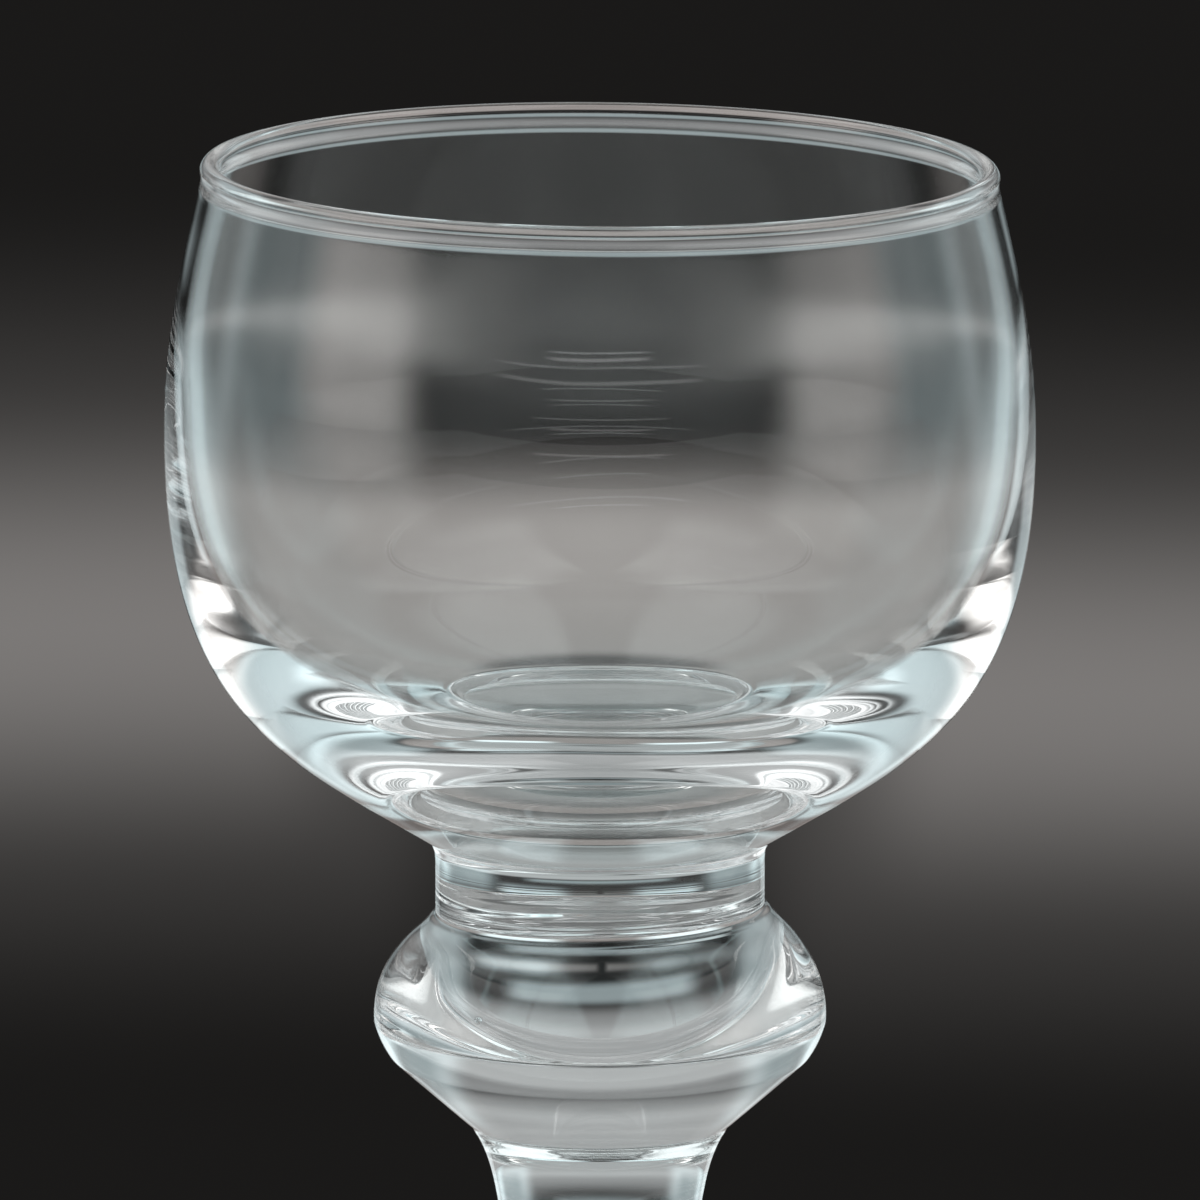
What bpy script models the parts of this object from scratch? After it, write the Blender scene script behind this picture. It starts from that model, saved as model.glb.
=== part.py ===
"""A short, heavy goblet for red wine, in clear glass.

Five turned pieces stand on one another along Z: foot, stem, knop, collar and bowl. Each pair is welded on a
flat disc. Units are metres, +Z is up, and the origin is the centre of the plane that the foot rests on.
"""

import math

import bmesh
import bpy

# Every piece ends this far below the flat face of the piece that stands on it.
WELD_GAP = 0.0003

# The foot: a low disc with a rounded edge, a flat resting ring and a shallow hollow underneath.
FOOT_HEIGHT = 0.0097
FOOT_RADIUS = 0.0350
FOOT_EDGE = 0.0030
FOOT_EDGE_SLOPE = math.radians(6)
RESTING_RING = 0.0095
FOOT_HOLLOW = 0.0015

# The stem: wide at both welds, with its waist between them.
STEM_HEIGHT = 0.0305
STEM_FOOT_RADIUS = 0.0122
STEM_FOOT_SLOPE = math.radians(52)
STEM_WAIST_RADIUS = 0.0088
STEM_WAIST_HEIGHT = 0.0135
STEM_TOP_RADIUS = 0.0120

# The knop: a bead whose round belly turns sharply into a cone on its underside.
KNOP_HEIGHT = 0.0205
KNOP_RADIUS = 0.0209
KNOP_BELLY_HEIGHT = 0.0101
KNOP_SHOULDER_SLOPE = math.radians(47)
KNOP_TURN_DEPTH = 0.0017
KNOP_TURN_DROP = 0.0037

# The collar: a short neck with a soft lower edge, flaring where the bowl sits on it.
COLLAR_HEIGHT = 0.0064
COLLAR_RADIUS = 0.0152
COLLAR_FLARE = 0.0005
COLLAR_FLARE_HEIGHT = 0.0020
COLLAR_EDGE = 0.0003

# The bowl: its outside.
BOWL_HEIGHT = 0.0629
BELLY_RADIUS = 0.0400
BELLY_HEIGHT = 0.0378
RIM_RADIUS = 0.0366
RIM_LEAN = math.radians(12.5)
BASE_SLOPE = math.radians(31.5)

# The bowl: its lip, its wall and its solid base.
LIP_THICKNESS = 0.0018
LIP_HEIGHT = 0.0022
LIP_BLEND = 0.0008
RIM_WALL = 0.0010
BELLY_WALL = 0.0015
CAVITY_BELLY_RISE = 0.0031
BASE_THICKNESS = 0.0095

# How far a curve keeps its starting and its ending direction, as shares of the longer side of its span.
UPPER_WALL_PULL = (0.30, 0.40)
UNDER_BELLY_PULL = (0.66, 0.45)
CAVITY_FLOOR_PULL = (0.66, 0.70)
CAVITY_WALL_PULL = (0.42, 0.30)
LIP_BLEND_PULL = (0.40, 0.40)
COLLAR_FLARE_PULL = (0.20, 0.50)
KNOP_SHOULDER_PULL = (0.30, 0.55)
KNOP_TURN_PULL = (0.25, 0.25)
STEM_TAPER_PULL = (0.12, 0.61)
STEM_FLARE_PULL = (0.55, 0.18)
FOOT_SWEEP_PULL = (0.24, 0.60)

# The clear glass, with a faint blue-green cast.
GLASS_COLOUR = (0.90, 0.965, 0.96)
GLASS_ROUGHNESS = 0.02
GLASS_IOR = 1.52

# Facets round the axis, and along each kind of curve.
SEGMENTS = 48
LONG_STEPS = 12
SHORT_STEPS = 6
BLEND_STEPS = 4

# Points closer than this are one point, and an edge that turns more than this stays crisp.
MERGE_DISTANCE = 0.000001
CRISP_TURN = math.radians(35)


def clear_scene():
    """Removes every object, so that the script can be run again in the same file."""
    for old in list(bpy.data.objects):
        bpy.data.objects.remove(old, do_unlink=True)


def along(point, angle, distance):
    """The point at this distance, with the angle measured from the outward direction, upwards."""
    return (point[0] + distance * math.cos(angle), point[1] + distance * math.sin(angle))


def curve(start, start_angle, end, end_angle, pulls, steps):
    """A cubic curve that leaves start and reaches end in the given directions.

    pulls holds the two handle lengths as shares of the larger of the curve's rise and its run.
    """
    span = max(abs(end[0] - start[0]), abs(end[1] - start[1]))
    first = along(start, start_angle, pulls[0] * span)
    second = along(end, end_angle, -pulls[1] * span)
    points = []
    for step in range(steps + 1):
        t = step / steps
        weights = ((1 - t) ** 3, 3 * t * (1 - t) ** 2, 3 * t ** 2 * (1 - t), t ** 3)
        corners = (start, first, second, end)
        r = sum(w * corner[0] for w, corner in zip(weights, corners))
        z = sum(w * corner[1] for w, corner in zip(weights, corners))
        points.append((r, z))
    return points


def arc(centre, radius, start_angle, end_angle, steps):
    """Points on a circle, from one angle to the other."""
    turn = (end_angle - start_angle) / steps
    return [along(centre, start_angle + turn * step, radius) for step in range(steps + 1)]


UP = math.pi / 2
DOWN = -math.pi / 2
INWARD = math.pi


def foot_profile():
    """Weld disc, sweep down to the edge, rounded edge, resting ring, hollow."""
    top = FOOT_HEIGHT - WELD_GAP
    edge = FOOT_EDGE / 2
    edge_centre = (FOOT_RADIUS - edge, edge)
    edge_start = UP - FOOT_EDGE_SLOPE
    sweep = curve((STEM_FOOT_RADIUS, top), -STEM_FOOT_SLOPE, along(edge_centre, edge_start, edge),
                  -FOOT_EDGE_SLOPE, FOOT_SWEEP_PULL, LONG_STEPS)
    edge_round = arc(edge_centre, edge, edge_start, DOWN, SHORT_STEPS)
    hollow_radius = edge_centre[0] - RESTING_RING
    dome = (hollow_radius ** 2 + FOOT_HOLLOW ** 2) / (2 * FOOT_HOLLOW)
    dome_start = math.acos(hollow_radius / dome)
    hollow = arc((0.0, FOOT_HOLLOW - dome), dome, dome_start, UP, BLEND_STEPS)
    return [(0.0, top)] + sweep + edge_round + hollow


def stem_profile():
    """Weld disc, taper to the waist, flare to the foot."""
    top = STEM_HEIGHT - WELD_GAP
    waist = (STEM_WAIST_RADIUS, STEM_WAIST_HEIGHT)
    taper = curve((STEM_TOP_RADIUS, top), knop_cone_angle(), waist, DOWN, STEM_TAPER_PULL, SHORT_STEPS)
    flare = curve(waist, DOWN, (STEM_FOOT_RADIUS, 0.0), -STEM_FOOT_SLOPE, STEM_FLARE_PULL, SHORT_STEPS)
    return [(0.0, top)] + taper + flare + [(0.0, 0.0)]


def knop_break():
    """Where the knop's belly ends and its conical underside begins."""
    return (KNOP_RADIUS - KNOP_TURN_DEPTH, KNOP_BELLY_HEIGHT - KNOP_TURN_DROP)


def knop_cone_angle():
    """Direction of the knop's conical underside, running inwards and down."""
    break_radius, break_height = knop_break()
    return math.atan2(-break_height, STEM_TOP_RADIUS - break_radius)


def knop_profile():
    """Weld disc, shoulder, belly, turn, cone."""
    top = KNOP_HEIGHT - WELD_GAP
    belly = (KNOP_RADIUS, KNOP_BELLY_HEIGHT)
    shoulder = curve((COLLAR_RADIUS, top), -KNOP_SHOULDER_SLOPE, belly, DOWN,
                     KNOP_SHOULDER_PULL, SHORT_STEPS)
    turn = curve(belly, DOWN, knop_break(), knop_cone_angle(), KNOP_TURN_PULL, BLEND_STEPS)
    return [(0.0, top)] + shoulder + turn + [(STEM_TOP_RADIUS, 0.0), (0.0, 0.0)]


def collar_profile():
    """Weld disc, flare, straight neck, soft lower edge."""
    top = COLLAR_HEIGHT - WELD_GAP
    flare = curve((COLLAR_RADIUS + COLLAR_FLARE, top), INWARD + BASE_SLOPE,
                  (COLLAR_RADIUS, top - COLLAR_FLARE_HEIGHT), DOWN, COLLAR_FLARE_PULL, BLEND_STEPS)
    edge = arc((COLLAR_RADIUS - COLLAR_EDGE, COLLAR_EDGE), COLLAR_EDGE, 0.0, DOWN, BLEND_STEPS)
    return [(0.0, top)] + flare + edge + [(0.0, 0.0)]


def bowl_profile():
    """Cavity floor, inner wall, lip, outer wall and base, as one run from axis to axis."""
    lip = LIP_THICKNESS / 2
    lip_centre = (RIM_RADIUS - lip, BOWL_HEIGHT - lip)
    lip_foot = BOWL_HEIGHT - LIP_HEIGHT
    wall_top = (RIM_RADIUS - RIM_WALL, lip_foot - LIP_BLEND)
    wall_down = DOWN + RIM_LEAN
    wall_up = UP + RIM_LEAN
    belly = (BELLY_RADIUS, BELLY_HEIGHT)
    cavity_belly = (BELLY_RADIUS - BELLY_WALL, BELLY_HEIGHT + CAVITY_BELLY_RISE)

    floor = curve((0.0, BASE_THICKNESS), 0.0, cavity_belly, UP, CAVITY_FLOOR_PULL, LONG_STEPS)
    inner_wall = curve(cavity_belly, UP, wall_top, wall_up, CAVITY_WALL_PULL, SHORT_STEPS)
    blend = curve(wall_top, wall_up, (lip_centre[0] - lip, lip_centre[1]), UP, LIP_BLEND_PULL, BLEND_STEPS)
    lip_round = arc(lip_centre, lip, INWARD, 0.0, SHORT_STEPS)
    outer_wall = curve((RIM_RADIUS, lip_foot), wall_down, belly, DOWN, UPPER_WALL_PULL, SHORT_STEPS)
    under = curve(belly, DOWN, (COLLAR_RADIUS + COLLAR_FLARE, 0.0), INWARD + BASE_SLOPE,
                  UNDER_BELLY_PULL, LONG_STEPS)
    return floor + inner_wall + blend + lip_round + outer_wall + under + [(0.0, 0.0)]


def glass(name):
    """The finish of one piece."""
    material = bpy.data.materials.new(name)
    material.use_nodes = True
    shader = material.node_tree.nodes["Principled BSDF"]
    shader.inputs["Base Color"].default_value = (*GLASS_COLOUR, 1.0)
    shader.inputs["Roughness"].default_value = GLASS_ROUGHNESS
    shader.inputs["Metallic"].default_value = 0.0
    shader.inputs["IOR"].default_value = GLASS_IOR
    shader.inputs["Transmission Weight"].default_value = 1.0
    return material


def turned(name, profile, height, parent):
    """Spins a profile about Z into one closed solid and stands it at its height."""
    shape = bmesh.new()
    points = [shape.verts.new((r, 0.0, z)) for r, z in profile]
    edges = [shape.edges.new(pair) for pair in zip(points, points[1:])]
    bmesh.ops.spin(shape, geom=points + edges, axis=(0, 0, 1), cent=(0, 0, 0),
                   angle=2 * math.pi, steps=SEGMENTS)
    bmesh.ops.remove_doubles(shape, verts=shape.verts, dist=MERGE_DISTANCE)
    bmesh.ops.recalc_face_normals(shape, faces=shape.faces)
    mesh = bpy.data.meshes.new(name)
    shape.to_mesh(mesh)
    shape.free()
    mesh.shade_smooth()
    mesh.set_sharp_from_angle(angle=CRISP_TURN)
    mesh.materials.append(glass(name))
    piece = bpy.data.objects.new(name, mesh)
    piece.location = (0.0, 0.0, height)
    piece.parent = parent
    bpy.context.scene.collection.objects.link(piece)
    return piece


def build():
    """Stacks the five pieces, each on the one below."""
    clear_scene()
    goblet = bpy.data.objects.new("goblet", None)
    bpy.context.scene.collection.objects.link(goblet)
    stack = (
        ("foot", foot_profile(), FOOT_HEIGHT),
        ("stem", stem_profile(), STEM_HEIGHT),
        ("knop", knop_profile(), KNOP_HEIGHT),
        ("collar", collar_profile(), COLLAR_HEIGHT),
        ("bowl", bowl_profile(), BOWL_HEIGHT),
    )
    level = 0.0
    for name, profile, height in stack:
        turned(name, profile, level, goblet)
        level += height
    print(f"goblet: {len(stack)} pieces, {level * 1000:.1f} mm tall")


build()
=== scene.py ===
# %% [markdown]
# # A short, heavy goblet for red wine
#
# The glass is five turned pieces of clear glass, welded hot on one axis: foot, stem, knop, collar
# and bowl. This lesson takes the outline of each solid from the frame, draws it out as a smooth
# curve, turns it on the lathe, adds the small marks of handwork and gives it a glass that is clear
# where thin and blue-green where thick. Lengths are in metres.

# %% Load the frame
import math

import bpy
import numpy as np
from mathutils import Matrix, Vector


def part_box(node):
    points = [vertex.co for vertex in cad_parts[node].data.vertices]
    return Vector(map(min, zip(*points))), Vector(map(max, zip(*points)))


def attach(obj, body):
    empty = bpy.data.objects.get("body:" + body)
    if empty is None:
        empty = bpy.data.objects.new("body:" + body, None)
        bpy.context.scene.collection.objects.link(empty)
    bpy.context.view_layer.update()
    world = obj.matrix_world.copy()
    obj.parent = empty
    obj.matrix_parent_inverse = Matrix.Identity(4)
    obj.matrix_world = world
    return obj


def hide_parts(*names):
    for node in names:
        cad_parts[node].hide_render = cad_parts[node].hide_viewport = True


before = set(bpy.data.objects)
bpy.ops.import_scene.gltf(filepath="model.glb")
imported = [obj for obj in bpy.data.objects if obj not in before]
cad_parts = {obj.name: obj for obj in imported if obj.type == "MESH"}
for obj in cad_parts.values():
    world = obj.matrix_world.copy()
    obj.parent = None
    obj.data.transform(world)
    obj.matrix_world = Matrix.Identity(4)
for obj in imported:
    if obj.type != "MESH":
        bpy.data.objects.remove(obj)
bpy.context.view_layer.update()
STACK = ("foot", "stem", "knop", "collar", "bowl")
print("solids on the axis:", ", ".join(STACK))

# %% [markdown]
# ## The outline of a turned piece
#
# A turned piece is wholly described by half of its section. It could be drawn again from the
# photograph, but the solid in the frame already has the right sizes. So a copy of the solid is
# merged and cut down to the points on the half plane +X, and the two open ends are drawn in to the
# axis.

# %% Select and edit one object
TOUCHING = 1e-6


def only(obj):
    """Leaves one object selected and active."""
    bpy.ops.object.select_all(action="DESELECT")
    obj.select_set(True)
    bpy.context.view_layer.objects.active = obj


def edit(obj, chosen=None):
    """Opens one object in edit mode with all of its points selected, or those that chosen names."""
    only(obj)
    bpy.ops.object.mode_set(mode="EDIT")
    bpy.ops.mesh.select_mode(type="VERT")
    bpy.ops.mesh.select_all(action="SELECT" if chosen is None else "DESELECT")
    if chosen is not None:
        bpy.ops.object.mode_set(mode="OBJECT")
        for point in obj.data.vertices:
            point.select = chosen(point)
        bpy.ops.object.mode_set(mode="EDIT")


# %% Cut a solid down to its outline
def outline(node):
    """The edges of a solid that lie on the half plane +X, from axis to axis."""
    line = bpy.data.objects.new(node + "_glass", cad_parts[node].data.copy())
    bpy.context.scene.collection.objects.link(line)
    edit(line)
    bpy.ops.mesh.remove_doubles(threshold=TOUCHING)
    bpy.ops.object.mode_set(mode="OBJECT")
    edit(line, lambda point: abs(point.co.y) > TOUCHING or point.co.x < -TOUCHING)
    bpy.ops.mesh.delete(type="VERT")
    bpy.ops.object.mode_set(mode="OBJECT")
    close_on_axis(line)
    return line


def close_on_axis(line):
    """Draws the flat ends of an outline in to the axis."""
    uses = np.bincount([index for edge in line.data.edges for index in edge.vertices])
    for end in np.flatnonzero(uses == 1):
        reach = line.data.vertices[end].co.x
        if reach > TOUCHING:
            edit(line, lambda point: point.index == end)
            bpy.ops.mesh.extrude_vertices_move(TRANSFORM_OT_translate={"value": (-reach, 0, 0)})
            bpy.ops.object.mode_set(mode="OBJECT")


lines = {node: outline(node) for node in STACK}
print("outline points:", {node: len(line.data.vertices) for node, line in lines.items()})

# %% [markdown]
# ## Welds
#
# The solids stop a third of a millimetre short of each other, and the collar has a small round at
# its lower end. On the real glass the hot pieces run together and leave a soft waist. So the lower
# piece is drawn up to the upper one, both take the wider radius at the weld, and the small round is
# dissolved.

# %% Draw each pair of outlines together
SMALL_ROUND = 0.00025
WELDS = {low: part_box(high)[0].z for low, high in zip(STACK, STACK[1:])}


def end_radius(line, level):
    """The widest point of an outline at one level."""
    return max(point.co.x for point in line.data.vertices if abs(point.co.z - level) < TOUCHING)


for low, high in zip(STACK, STACK[1:]):
    level = WELDS[low]
    top = max(point.co.z for point in lines[low].data.vertices)
    radii = (end_radius(lines[low], top), end_radius(lines[high], level))
    edit(lines[high], lambda point: TOUCHING < point.co.z - level < SMALL_ROUND)
    bpy.ops.mesh.dissolve_verts()
    bpy.ops.object.mode_set(mode="OBJECT")
    for line, end in ((lines[low], top), (lines[high], level)):
        for point in line.data.vertices:
            if abs(point.co.z - end) < TOUCHING:
                point.co.x = max(radii) if point.co.x > TOUCHING else 0
                point.co.z = level
    print(low, "to", high, "at", round(level * 1000, 2), "mm, radius", round(max(radii) * 1000, 2))

# %% [markdown]
# ## A true curve through the points
#
# Glass shows every ripple of its outline, because each highlight follows the curvature. Automatic
# handles leave small steps in the curvature at each point. So the handles are solved here as
# splines whose curvature runs on from point to point. A long sweep is solved first and freely, and
# the short rounds beside it, at the lip and at the welds, take its direction over, so that a tight
# turn sends no ripple up the wall.

# %% Solve the slopes of a spline
def unit(step):
    """A direction of length one."""
    return step / np.linalg.norm(step)


def slopes(points, first, last):
    """Slopes of the smooth spline through some points, with its end directions where known."""
    steps = np.diff(points, axis=0)
    span = np.linalg.norm(steps, axis=1)
    count = len(points)
    rows = np.zeros((count, count))
    wanted = np.zeros((count, 2))
    for i in range(1, count - 1):
        rows[i, i - 1:i + 2] = span[i], 2 * (span[i - 1] + span[i]), span[i - 1]
        wanted[i] = 3 * (steps[i - 1] * span[i] / span[i - 1] + steps[i] * span[i - 1] / span[i])
    for end, beside, known, segment in ((0, 1, first, 0), (-1, -2, last, -1)):
        rows[end, end] = 1
        if known is not None:
            wanted[end] = known
        elif count == 2 and (first is None) == (last is None):
            wanted[end] = steps[0] / span[0]
        else:
            rows[end, beside] = 1
            wanted[end] = 2 * steps[segment] / span[segment]
    return np.linalg.solve(rows, wanted)


# %% Read the outlines in order
FILLET = 0.001
LARGEST_SHARE = 0.5


def ordered(line):
    """The outline as radius and height, from the lower end on the axis to the upper one."""
    only(line)
    bpy.ops.object.convert(target="CURVE")
    points = np.array([(point.co.x, point.co.z) for point in line.data.splines[0].points])
    return points if points[0, 1] < points[-1, 1] else points[::-1]


def with_fillet(points, at_weld, next_to_it):
    """Adds a point close to a weld, where the round of the weld ends."""
    step = points[next_to_it] - points[at_weld]
    part = min(FILLET / np.linalg.norm(step), LARGEST_SHARE)
    return np.insert(points, max(at_weld, next_to_it), points[at_weld] + step * part, axis=0)


paths = {node: ordered(line) for node, line in lines.items()}
shared = {}
for low, high in zip(STACK, STACK[1:]):
    below = unit(paths[low][-2] - paths[low][-3])
    above = unit(paths[high][2] - paths[high][1])
    shared[low] = shared[high, "under"] = unit(below + above)
    paths[high] = with_fillet(paths[high], 1, 2)
    end = len(paths[low]) - 2
    paths[low] = with_fillet(paths[low], end, end - 1)
    print(low, "runs into", high, "at", round(math.degrees(math.atan2(*shared[low][::-1]))), "degrees")

# %% Split an outline into runs
CORNER = math.radians(40)
UNEVEN = 2.5


def stops_of(points, node):
    """Where the spline stops: sharp and flat ends, and ends that are eased into a neighbour."""
    steps = np.diff(points, axis=0)
    span = np.linalg.norm(steps, axis=1)
    flat = np.abs(steps[:, 1]) < TOUCHING
    hard, eased = [0], []
    for i in range(1, len(points) - 1):
        ratio = max(span[i - 1], span[i]) / min(span[i - 1], span[i])
        at_fillet = (node != STACK[0] and i == 2) or (node != STACK[-1] and i == len(points) - 3)
        if flat[i - 1] or flat[i] or np.dot(unit(steps[i - 1]), unit(steps[i])) < math.cos(CORNER):
            hard.append(i)
        elif at_fillet or ratio > UNEVEN:
            eased.append(i)
    return sorted(hard + eased + [len(points) - 1]), set(eased)


def end_direction(points, i, node, towards):
    """The direction at a hard end, where it is known: on the axis, at a weld or beside a flat face."""
    if points[i, 0] < TOUCHING:
        return np.array((1.0 if i == 0 else -1.0, 0.0))
    if node != STACK[0] and i == 1:
        return shared[node, "under"]
    if node != STACK[-1] and i == len(points) - 2:
        return shared[node]
    inside = points[i + towards] - points[i]
    outside = points[i] - points[i - towards]
    level = abs(outside[1]) < TOUCHING
    smooth_join = np.dot(unit(inside), unit(outside)) > math.cos(CORNER)
    return unit(outside) * towards if level and smooth_join else None


# %% Give the outlines their handles
CURVE_STEPS = 6


def smooth(line, node):
    """Draws a curve through the outline that keeps its corners and its flat faces."""
    points = paths[node]
    line.data.splines.clear()
    spline = line.data.splines.new("BEZIER")
    spline.bezier_points.add(len(points) - 1)
    line.data.dimensions = "3D"
    line.data.resolution_u = CURVE_STEPS
    for point, (radius, height) in zip(spline.bezier_points, points):
        point.handle_left_type = "FREE"
        point.handle_right_type = "FREE"
        point.co = (radius, 0, height)
    stops, eased = stops_of(points, node)
    known = {}
    span = np.linalg.norm(np.diff(points, axis=0), axis=1)
    runs = sorted(zip(stops, stops[1:]), key=lambda run: -span[run[0]:run[1]].mean())
    for start, stop in runs:
        first = known.get(start) if start in eased else end_direction(points, start, node, 1)
        last = known.get(stop) if stop in eased else end_direction(points, stop, node, -1)
        if abs(points[start, 1] - points[stop, 1]) < TOUCHING:
            first = last = unit(points[stop] - points[start])
        slope = slopes(points[start:stop + 1], first, last)
        known.setdefault(start, unit(slope[0]))
        known.setdefault(stop, unit(slope[-1]))
        for i in range(start, stop):
            leave = points[i] + slope[i - start] * span[i] / 3
            arrive = points[i + 1] - slope[i + 1 - start] * span[i] / 3
            spline.bezier_points[i].handle_right = (leave[0], 0, leave[1])
            spline.bezier_points[i + 1].handle_left = (arrive[0], 0, arrive[1])
    only(line)
    bpy.ops.object.convert(target="MESH")


for node, line in lines.items():
    smooth(line, node)
print("points after smoothing:", {node: len(line.data.vertices) for node, line in lines.items()})

# %% [markdown]
# ## Tool marks on the collar
#
# Just above the weld to the knop the photograph shows a few fine rings, left by the tool that
# necked the hot collar. A bump would not bend the light as rings in the glass do, so the outline
# itself is cut finer there and its points are moved in and out by a few thousandths of a
# millimetre.

# %% Ring the lower end of the collar
MARKS_HEIGHT = 0.0021
MARKS_CUTS = 9
MARKS_DEPTH = 0.000005
MARKS_PITCH = 0.00052
FINER_SHARE = 0.6
FINER_PACE = 1.7
OUTSIDE_RADIUS = 0.012

foot_of_collar = WELDS["knop"]
edit(lines["collar"],
     lambda point: point.co.x > OUTSIDE_RADIUS and point.co.z - foot_of_collar < MARKS_HEIGHT)
bpy.ops.mesh.subdivide(number_cuts=MARKS_CUTS)
bpy.ops.object.mode_set(mode="OBJECT")
marked = 0
for point in lines["collar"].data.vertices:
    up = (point.co.z - foot_of_collar) / MARKS_HEIGHT
    if TOUCHING < up < 1 and point.co.x > OUTSIDE_RADIUS:
        phase = 2 * math.pi * point.co.z / MARKS_PITCH
        fade = math.sin(math.pi * up) ** 2
        wave = math.sin(phase) + FINER_SHARE * math.sin(FINER_PACE * phase)
        point.co.x += MARKS_DEPTH * fade * wave
        marked += 1
print(marked, "outline points ringed")

# %% [markdown]
# ## On the lathe
#
# Each outline is spun once round the axis. The seam and the poles are merged, and then the normals
# are recalculated, because a spin can leave a skin inside out. The discs where two pieces meet are
# inside solid glass: they get a second material slot, which light passes as if nothing were there.

# %% Turn the outlines
TURN_STEPS = 192
SHARP = math.radians(24)
LEVEL_NORMAL = 0.999


def turn(line):
    """Spins an outline into a closed skin with its faces outwards."""
    edit(line)
    bpy.ops.mesh.spin(steps=TURN_STEPS, angle=2 * math.pi, center=(0, 0, 0), axis=(0, 0, 1))
    bpy.ops.mesh.select_all(action="SELECT")
    bpy.ops.mesh.remove_doubles(threshold=TOUCHING)
    bpy.ops.mesh.normals_make_consistent(inside=False)
    bpy.ops.object.mode_set(mode="OBJECT")
    bpy.ops.object.shade_smooth_by_angle(angle=SHARP)


def weld_faces(piece):
    """The discs of a piece that lie at a weld."""
    levels = np.array(list(WELDS.values()))
    return [face for face in piece.data.polygons
            if abs(face.normal.z) > LEVEL_NORMAL and np.abs(levels - face.center.z).min() < TOUCHING]


for node, line in lines.items():
    turn(line)
    line.data.materials.clear()
    line.data.materials.append(None)
    line.data.materials.append(None)
    for face in weld_faces(line):
        face.material_index = 1
    print(node, len(line.data.polygons), "faces,", len(weld_faces(line)), "in welds")

# %% [markdown]
# ## The maker's hand
#
# The glass is not quite true. The knop was set on a little out of square, so the crease under the
# collar rises to the right, and the rim dips to the right. Both are one smooth field of lifts that
# every piece goes through, so welded faces stay together, and each fades out before the next
# feature.

# %% Lean the weld and roll the rim
CREASE_LEAN = math.tan(math.radians(1.6))
CREASE_REACH = 0.0045
RIM_ROLL = math.tan(math.radians(0.6))
ROLL_START = 0.088
RIM_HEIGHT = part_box("bowl")[1].z


def lift(place):
    """How far a point rises through the two faults."""
    off_crease = (place.z - WELDS["knop"]) / CREASE_REACH
    lean = CREASE_LEAN * math.exp(-off_crease ** 2)
    up = min(max((place.z - ROLL_START) / (RIM_HEIGHT - ROLL_START), 0), 1)
    roll = RIM_ROLL * up * up * (3 - 2 * up)
    return place.x * (lean - roll)


for node, piece in lines.items():
    lifts = [lift(point.co) for point in piece.data.vertices]
    for point, rise in zip(piece.data.vertices, lifts):
        point.co.z += rise
    piece.data.update()
    print(node, "moves by at most", round(max(map(abs, lifts)) * 1000, 3), "mm")

# %% [markdown]
# ## A seed in the knop
#
# Hand-made glass keeps a few seeds, tiny bubbles of air. The photograph shows one low on the left
# of the knop. It is added inside the knop's own mesh, drawn out a little sideways, and its faces
# are flipped, because the air side of this skin is the inside.

# %% Put the seed in
SEED_RADIUS = 0.00026
SEED_PLACE = (-0.0094, -0.0085, 0.0512)
SEED_STRETCH = (1.35, 1.0, 0.85)
SEED_SEGMENTS = 24
SEED_RINGS = 12

edit(lines["knop"], lambda point: False)
bpy.ops.mesh.primitive_uv_sphere_add(
    segments=SEED_SEGMENTS, ring_count=SEED_RINGS, radius=SEED_RADIUS, location=SEED_PLACE)
bpy.ops.transform.resize(value=SEED_STRETCH, center_override=SEED_PLACE)
bpy.ops.mesh.flip_normals()
bpy.ops.mesh.faces_shade_smooth()
bpy.ops.object.mode_set(mode="OBJECT")
print("knop with its seed:", len(lines["knop"].data.polygons), "faces")

# %% [markdown]
# ## Two shared effects
#
# Blown glass is never optically flat: long, low waves bend what is seen through it. And a glass in
# use carries a thin film in soft patches, which dulls the shine a little. Each effect is one node
# group on Object coordinates, placed in every glass with its own values. A group gives out a plain
# number, and the shader stays outside.


# %% A Math node in one line
def math_node(tree, operation, first, second=None, third=None):
    """One Math node of a node tree, with sockets or plain numbers at its inputs."""
    node = tree.nodes.new("ShaderNodeMath")
    node.operation = operation
    for socket, value in zip(node.inputs, (first, second, third)):
        if isinstance(value, (int, float)):
            socket.default_value = value
        elif value is not None:
            tree.links.new(value, socket)
    return node.outputs[0]


def new_group(name, inputs, output):
    """An empty shader node group with named numbers in and one number out."""
    group = bpy.data.node_groups.new(name, "ShaderNodeTree")
    for socket in inputs:
        group.interface.new_socket(socket, in_out="INPUT", socket_type="NodeSocketFloat")
    group.interface.new_socket(output, in_out="OUTPUT", socket_type="NodeSocketFloat")
    return group, group.nodes.new("NodeGroupInput").outputs, group.nodes.new("NodeGroupOutput").inputs


# %% Waves and film
FILM_DETAIL = 3
FILM_GRAIN = 0.6
FILM_STARTS = 0.48
FILM_FULL = 0.72


def hand_waves():
    """Long waves of the blown surface, wider round the glass than up it."""
    group, given, result = new_group("hand_waves", ("Waves per Metre", "Flattening"), "Height")
    place = group.nodes.new("ShaderNodeTexCoord")
    squeeze = group.nodes.new("ShaderNodeCombineXYZ")
    squeeze.inputs["X"].default_value = 1
    squeeze.inputs["Y"].default_value = 1
    group.links.new(given["Flattening"], squeeze.inputs["Z"])
    stretched = group.nodes.new("ShaderNodeVectorMath")
    stretched.operation = "MULTIPLY"
    group.links.new(place.outputs["Object"], stretched.inputs[0])
    group.links.new(squeeze.outputs[0], stretched.inputs[1])
    noise = group.nodes.new("ShaderNodeTexNoise")
    noise.inputs["Detail"].default_value = 0
    group.links.new(stretched.outputs[0], noise.inputs["Vector"])
    group.links.new(given["Waves per Metre"], noise.inputs["Scale"])
    group.links.new(noise.outputs["Fac"], result["Height"])
    return group


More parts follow.
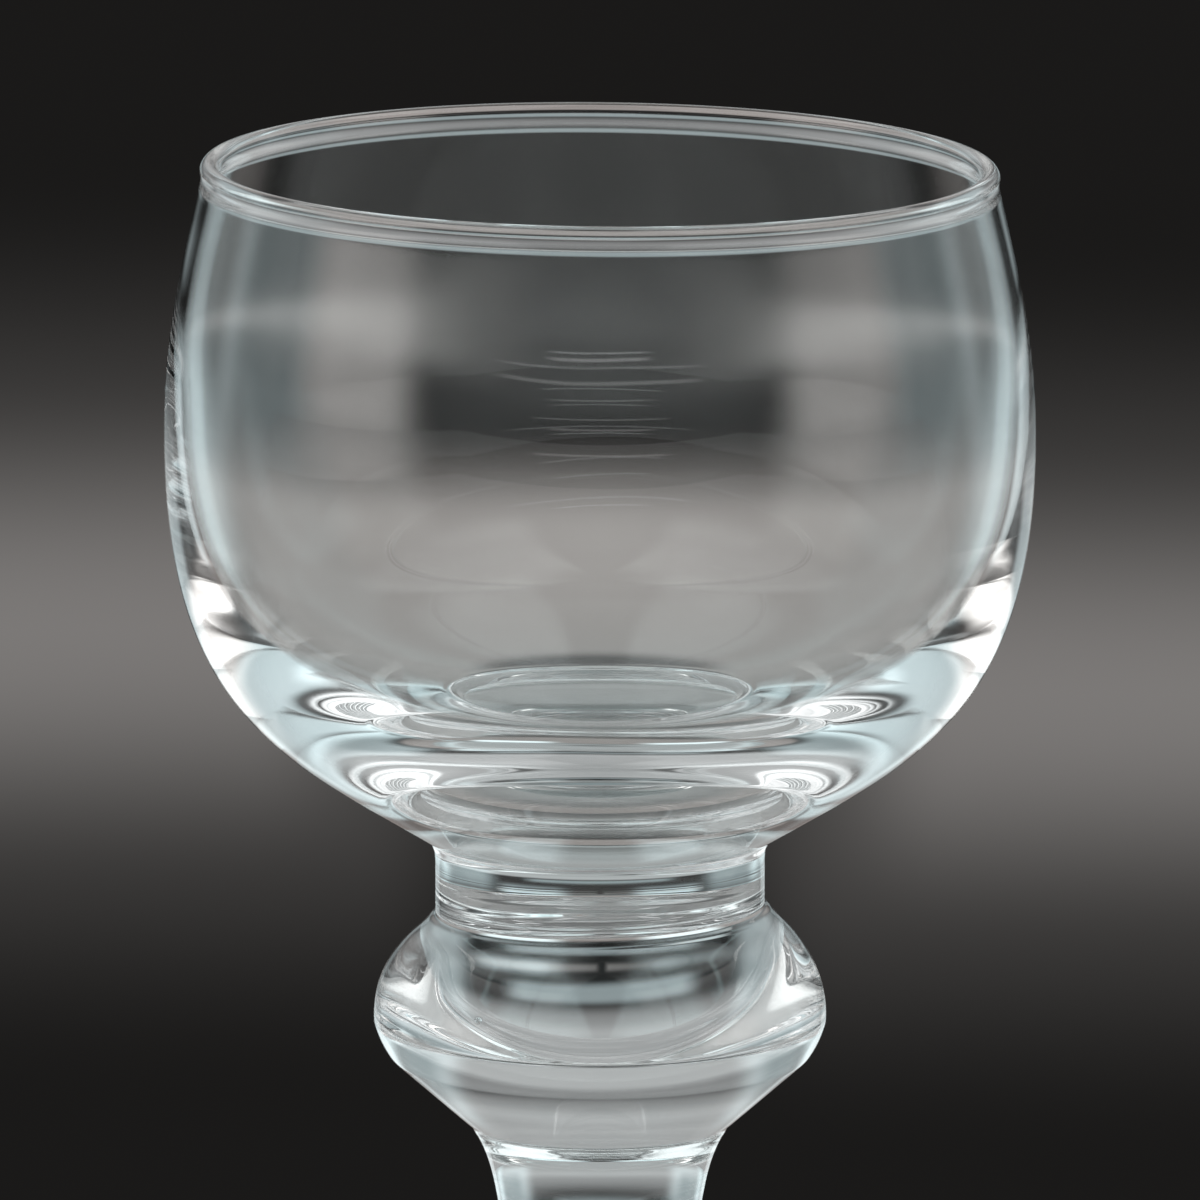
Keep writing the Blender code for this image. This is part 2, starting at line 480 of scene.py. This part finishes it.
def handling_film():
    """Soft patches of film, as a roughness between a clean and a dull value."""
    group, given, result = new_group(
        "handling_film", ("Patches per Metre", "Clean", "Dull"), "Roughness")
    place = group.nodes.new("ShaderNodeTexCoord")
    noise = group.nodes.new("ShaderNodeTexNoise")
    noise.inputs["Detail"].default_value = FILM_DETAIL
    noise.inputs["Roughness"].default_value = FILM_GRAIN
    group.links.new(place.outputs["Object"], noise.inputs["Vector"])
    group.links.new(given["Patches per Metre"], noise.inputs["Scale"])
    patch = group.nodes.new("ShaderNodeMapRange")
    patch.interpolation_type = "SMOOTHSTEP"
    patch.inputs["From Min"].default_value = FILM_STARTS
    patch.inputs["From Max"].default_value = FILM_FULL
    group.links.new(noise.outputs["Fac"], patch.inputs["Value"])
    group.links.new(given["Clean"], patch.inputs["To Min"])
    group.links.new(given["Dull"], patch.inputs["To Max"])
    group.links.new(patch.outputs[0], result["Roughness"])
    return group


WAVES = hand_waves()
FILM = handling_film()
print("groups:", WAVES.name, FILM.name)

# %% [markdown]
# ## The glass
#
# Soda glass looks clear in a thin wall and blue-green where light runs through centimetres of it. A
# volume would do that for one closed piece, but five welded pieces would each start a new volume.
# So the shader is tinted at the point where a ray leaves the glass, by the length that it has
# travelled inside. Metallic, IOR and Transmission stay plain numbers on the shader, which keeps it
# glass in the exported model.

# %% Tinted glass
LEAST_DEPTH = 0.0015
GLASS_IOR = 1.52
FILM_PATCHES = 38


def use_group(tree, group, **values):
    """Places a node group with its own values and gives its one output."""
    node = tree.nodes.new("ShaderNodeGroup")
    node.node_tree = group
    for socket, value in values.items():
        node.inputs[socket.replace("_", " ")].default_value = value
    return node.outputs[0]


def tinted_glass(name, absorption, waves, flattening, wave_height, dull):
    """Clear glass that takes up light along the way through it."""
    material = bpy.data.materials.new(name)
    material.use_nodes = True
    tree = material.node_tree
    shader = tree.nodes["Principled BSDF"]
    shader.inputs["IOR"].default_value = GLASS_IOR
    shader.inputs["Transmission Weight"].default_value = 1.0
    path = tree.nodes.new("ShaderNodeLightPath").outputs["Ray Length"]
    leaving = tree.nodes.new("ShaderNodeNewGeometry").outputs["Backfacing"]
    depth = math_node(tree, "MULTIPLY_ADD", path, leaving, LEAST_DEPTH)
    tint = tree.nodes.new("ShaderNodeCombineColor")
    # The shader tints a ray by the root of its colour, so each rate counts twice.
    for channel, rate in zip(("Red", "Green", "Blue"), absorption):
        left = math_node(tree, "EXPONENT", math_node(tree, "MULTIPLY", depth, -2 * rate))
        tree.links.new(left, tint.inputs[channel])
    tree.links.new(tint.outputs[0], shader.inputs["Base Color"])
    film = use_group(tree, FILM, Patches_per_Metre=FILM_PATCHES, Clean=0.0, Dull=dull)
    tree.links.new(film, shader.inputs["Roughness"])
    bump = tree.nodes.new("ShaderNodeBump")
    bump.inputs["Distance"].default_value = wave_height
    height = use_group(tree, WAVES, Waves_per_Metre=waves, Flattening=flattening)
    tree.links.new(height, bump.inputs["Height"])
    tree.links.new(bump.outputs[0], shader.inputs["Normal"])
    return material


def weld():
    """What lies between two welded pieces: nothing that light would notice."""
    material = bpy.data.materials.new("weld")
    material.use_nodes = True
    tree = material.node_tree
    tree.nodes.remove(tree.nodes["Principled BSDF"])
    clear = tree.nodes.new("ShaderNodeBsdfTransparent")
    tree.links.new(clear.outputs[0], tree.nodes["Material Output"].inputs["Surface"])
    return material


# %% Dress the pieces
blown = tinted_glass("blown_glass", (8.0, 2.2, 1.8),
                     waves=45, flattening=1.6, wave_height=0.00012, dull=0.008)
drawn = tinted_glass("drawn_glass", (4.0, 1.6, 1.4),
                     waves=70, flattening=3.0, wave_height=0.00010, dull=0.01)
pressed = tinted_glass("pressed_glass", (2.4, 1.3, 1.2),
                       waves=55, flattening=1.0, wave_height=0.00012, dull=0.02)
finish = {"foot": pressed, "stem": drawn, "knop": pressed, "collar": drawn, "bowl": blown}
seam = weld()
for node, piece in lines.items():
    piece.data.materials[0] = finish[node]
    piece.data.materials[1] = seam
    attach(piece, "root")
    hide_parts(node)
    print(piece.name, "in", finish[node].name)

# %% [markdown]
# ## The floor
#
# A plain pale sheet carries the glass. It lies a hair under the foot, because two faces in one
# plane would look black. The camera looks only a little down on it, so a hard back edge would show
# in the bowl as a line: the sheet fades out behind the glass instead.

# %% A pale sheet
FLOOR_HALF_WIDTH = 0.75
FLOOR_FRONT = -1.0
FLOOR_BACK = 0.10
FADE_START = 0.03
AIR_GAP = 0.0003
FLOOR_COLOUR = (0.62, 0.615, 0.605, 1)
FLOOR_ROUGHNESS = 0.7
FLOOR_SHINE = 0.2


def pale_floor():
    """A plain matt sheet whose back edge fades out."""
    material = bpy.data.materials.new("pale_floor")
    material.use_nodes = True
    tree = material.node_tree
    shader = tree.nodes["Principled BSDF"]
    shader.inputs["Base Color"].default_value = FLOOR_COLOUR
    shader.inputs["Roughness"].default_value = FLOOR_ROUGHNESS
    shader.inputs["Specular IOR Level"].default_value = FLOOR_SHINE
    place = tree.nodes.new("ShaderNodeTexCoord")
    split = tree.nodes.new("ShaderNodeSeparateXYZ")
    tree.links.new(place.outputs["Object"], split.inputs[0])
    fade = tree.nodes.new("ShaderNodeMapRange")
    fade.interpolation_type = "SMOOTHERSTEP"
    fade.inputs["From Min"].default_value = FLOOR_BACK
    fade.inputs["From Max"].default_value = FADE_START
    tree.links.new(split.outputs["Y"], fade.inputs["Value"])
    tree.links.new(fade.outputs[0], shader.inputs["Alpha"])
    return material


bpy.ops.object.select_all(action="DESELECT")
bpy.ops.mesh.primitive_plane_add(size=1, location=(0, (FLOOR_BACK + FLOOR_FRONT) / 2, -AIR_GAP))
floor = bpy.context.object
floor.name = "floor"
floor.scale = (2 * FLOOR_HALF_WIDTH, FLOOR_BACK - FLOOR_FRONT, 1)
bpy.ops.object.transform_apply(location=True, scale=True)
floor.data.materials.append(pale_floor())
print("floor", [round(side, 2) for side in floor.dimensions])

# %% [markdown]
# ## The studio
#
# A clear glass has hardly a colour of its own: it shows the room. Lamps with hard edges draw hard
# lines in it, so the room is painted on the world as soft patches of light, each given by its
# direction from the glass. Azimuth 0 is towards the camera and positive to the right. One node
# group makes the mask of a patch. The windows and sides draw the pale stripes of the bowl, the thin
# front lights its small arcs, and the low ones behind fill its lower half. The haze is the pale band
# across the dark backdrop. It leaves the middle dark, as the bowl shows it, and the light under the
# floor is seen only from behind, where the floor has faded out.


# %% One soft light
def soft_light():
    """A mask for one soft light of the studio, by its direction from the glass in degrees."""
    group, given, result = new_group(
        "soft_light",
        ("Azimuth", "Elevation", "Half Width", "Half Height", "Side Softness", "Softness"), "Mask")
    towards = group.nodes.new("ShaderNodeTexCoord")
    turned = group.nodes.new("ShaderNodeVectorRotate")
    turned.rotation_type = "Z_AXIS"
    group.links.new(towards.outputs["Generated"], turned.inputs["Vector"])
    back = math_node(group, "RADIANS", math_node(group, "MULTIPLY", given["Azimuth"], -1))
    group.links.new(back, turned.inputs["Angle"])
    split = group.nodes.new("ShaderNodeSeparateXYZ")
    group.links.new(turned.outputs[0], split.inputs[0])
    ahead = math_node(group, "MULTIPLY", split.outputs["Y"], -1)
    across = math_node(group, "DEGREES", math_node(group, "ARCTAN2", split.outputs["X"], ahead))
    height = math_node(group, "DEGREES", math_node(group, "ARCSINE", split.outputs["Z"]))
    upward = math_node(group, "SUBTRACT", height, given["Elevation"])
    masks = []
    sides = ((across, "Half Width", "Side Softness"), (upward, "Half Height", "Softness"))
    for angle, limit, soft in sides:
        half_soft = math_node(group, "MULTIPLY", given[soft], 0.5)
        ramp = group.nodes.new("ShaderNodeMapRange")
        ramp.interpolation_type = "SMOOTHERSTEP"
        group.links.new(math_node(group, "ABSOLUTE", angle), ramp.inputs["Value"])
        group.links.new(math_node(group, "ADD", given[limit], half_soft), ramp.inputs["From Min"])
        group.links.new(math_node(group, "SUBTRACT", given[limit], half_soft), ramp.inputs["From Max"])
        masks.append(ramp.outputs[0])
    group.links.new(math_node(group, "MULTIPLY", *masks), result["Mask"])
    return group


SOFT_LIGHT = soft_light()
print("group:", SOFT_LIGHT.name)

# %% The lights of the room
NEUTRAL = (1.0, 1.0, 1.0, 1)
WARM = (1.05, 1.0, 0.97, 1)
DUSK = (1.13, 1.0, 0.95, 1)
COOL = (0.86, 1.0, 1.03, 1)
# name, azimuth, elevation, half width, half height, side softness, softness, radiance, colour
STUDIO = (
    ("left_window", -70, 3, 16, 11, 20, 12, 2.0, WARM),
    ("right_window", 70, 3, 16, 11, 20, 12, 1.6, WARM),
    ("left_side", -104, 9, 18, 20, 14, 14, 0.74, COOL),
    ("right_side", 104, 9, 18, 20, 14, 14, 0.78, COOL),
    ("left_wall", -132, 5, 17, 17, 12, 12, 0.36, COOL),
    ("right_wall", 132, 5, 17, 17, 12, 12, 0.40, COOL),
    ("left_top", -80, 63, 52, 19, 16, 16, 1.25, NEUTRAL),
    ("right_top", 80, 63, 52, 19, 16, 16, 1.35, NEUTRAL),
    ("left_front", -48, 40, 22, 14, 12, 12, 0.4, NEUTRAL),
    ("right_front", 48, 40, 22, 14, 12, 12, 0.4, NEUTRAL),
    ("front_top", 0, 48, 26, 18, 14, 14, 0.33, NEUTRAL),
    ("front_fill", 0, 12, 46, 14, 18, 14, 0.12, NEUTRAL),
    ("front_lamp", 0, 11.4, 13, 0.15, 8, 0.3, 2.4, NEUTRAL),
    ("front_shelf", 0, 9.0, 26, 0.2, 12, 0.4, 1.5, NEUTRAL),
    ("front_rail", 0, 3.0, 13, 0.15, 8, 0.3, 1.5, NEUTRAL),
    ("front_step", 0, -1.0, 17, 0.15, 8, 0.3, 1.5, NEUTRAL),
    ("left_strip", -162, -18, 9, 7, 8, 8, 0.9, COOL),
    ("right_strip", 162, -18, 9, 7, 8, 8, 0.9, COOL),
    ("edge_glow", 180, -3, 18, 3, 8, 4, 0.32, COOL),
    ("back_band", 180, 9, 36, 6, 12, 9, 0.25, NEUTRAL),
    ("back_top", 180, 38, 60, 26, 20, 18, 0.42, NEUTRAL),
    ("low_glow", 180, -28, 55, 12.4, 20, 4.8, 0.27, DUSK),
    ("low_back", 180, -62, 40, 14, 20, 10, 0.12, DUSK),
    ("under_floor", 0, -36, 110, 24, 20, 8, 0.30, NEUTRAL),
    ("haze_left", -165, -10.86, 13.95, 0.45, 0.7, 1.1, 0.12, WARM),
    ("haze_right", 165, -11.1, 13.95, 0.45, 0.7, 1.1, 0.12, WARM),
    ("tail_left", -165, -10.86, 14.4, 0.9, 0.8, 1.8, 0.06, WARM),
    ("tail_right", 165, -11.1, 14.4, 0.9, 0.8, 1.8, 0.06, WARM),
)
ROOM = (0.0105, 0.0100, 0.0096, 1)
world = bpy.data.worlds.new("studio")
bpy.context.scene.world = world
world.use_nodes = True
tree = world.node_tree
tree.nodes["Background"].inputs["Color"].default_value = ROOM
total = tree.nodes["Background"].outputs[0]
for name, azimuth, elevation, half_width, half_height, side_soft, soft, radiance, colour in STUDIO:
    mask = use_group(tree, SOFT_LIGHT, Azimuth=azimuth, Elevation=elevation, Half_Width=half_width,
                     Half_Height=half_height, Side_Softness=side_soft, Softness=soft)
    light = tree.nodes.new("ShaderNodeBackground")
    light.label = name
    light.inputs["Color"].default_value = colour
    tree.links.new(math_node(tree, "MULTIPLY", mask, radiance), light.inputs["Strength"])
    pile = tree.nodes.new("ShaderNodeAddShader")
    tree.links.new(total, pile.inputs[0])
    tree.links.new(light.outputs[0], pile.inputs[1])
    total = pile.outputs[0]
tree.links.new(total, tree.nodes["World Output"].inputs["Surface"])
print(len(STUDIO), "soft lights")

# %% [markdown]
# ## A pool of light
#
# The white patches on both sides of the knop are the floor in front of the glass, seen upside down.
# One lamp over that part of the floor makes them bright. It is kept out of reflections, because its
# own square would show.

# %% The lamp over the floor
LAMP_PLACE = (0, -0.36, 0.9)
LAMP_POWER = 0.45
LAMP_SIDE = 0.2
LAMP_SPREAD = math.radians(32)
bpy.ops.object.light_add(type="AREA", location=LAMP_PLACE)
lamp = bpy.context.object
lamp.name = "floor_lamp"
lamp.data.size = LAMP_SIDE
lamp.data.spread = LAMP_SPREAD
lamp.data.energy = LAMP_POWER
lamp.visible_glossy = False
lamp.visible_transmission = False
print(lamp.name, LAMP_POWER, "W")

# %% [markdown]
# ## The camera
#
# The photograph looks about eleven degrees down and shows the glass from just above its rim to the
# top of its stem, with hardly any perspective. So the camera stands well back with a long lens and
# no shift. Light may bounce inside the wall many times before it gets out, and each bounce that is
# cut off leaves a black streak, so the limits are high.

# %% Camera and light paths
CAMERA_PLACE = (0, -1.40, 0.3554)
CAMERA_PITCH = 0.1878
CAMERA_LENS = 465.3
GLASS_BOUNCES = 96
CLEAR_BOUNCES = 64
bpy.ops.object.camera_add(location=CAMERA_PLACE, rotation=(math.pi / 2 - CAMERA_PITCH, 0, 0))
camera = bpy.context.object
camera.data.lens = CAMERA_LENS
scene = bpy.context.scene
scene.camera = camera
scene.cycles.max_bounces = GLASS_BOUNCES
scene.cycles.transmission_bounces = GLASS_BOUNCES
scene.cycles.glossy_bounces = GLASS_BOUNCES
scene.cycles.transparent_max_bounces = CLEAR_BOUNCES
scene.view_settings.view_transform = "Standard"
print("camera looks down", round(math.degrees(CAMERA_PITCH), 1), "degrees")
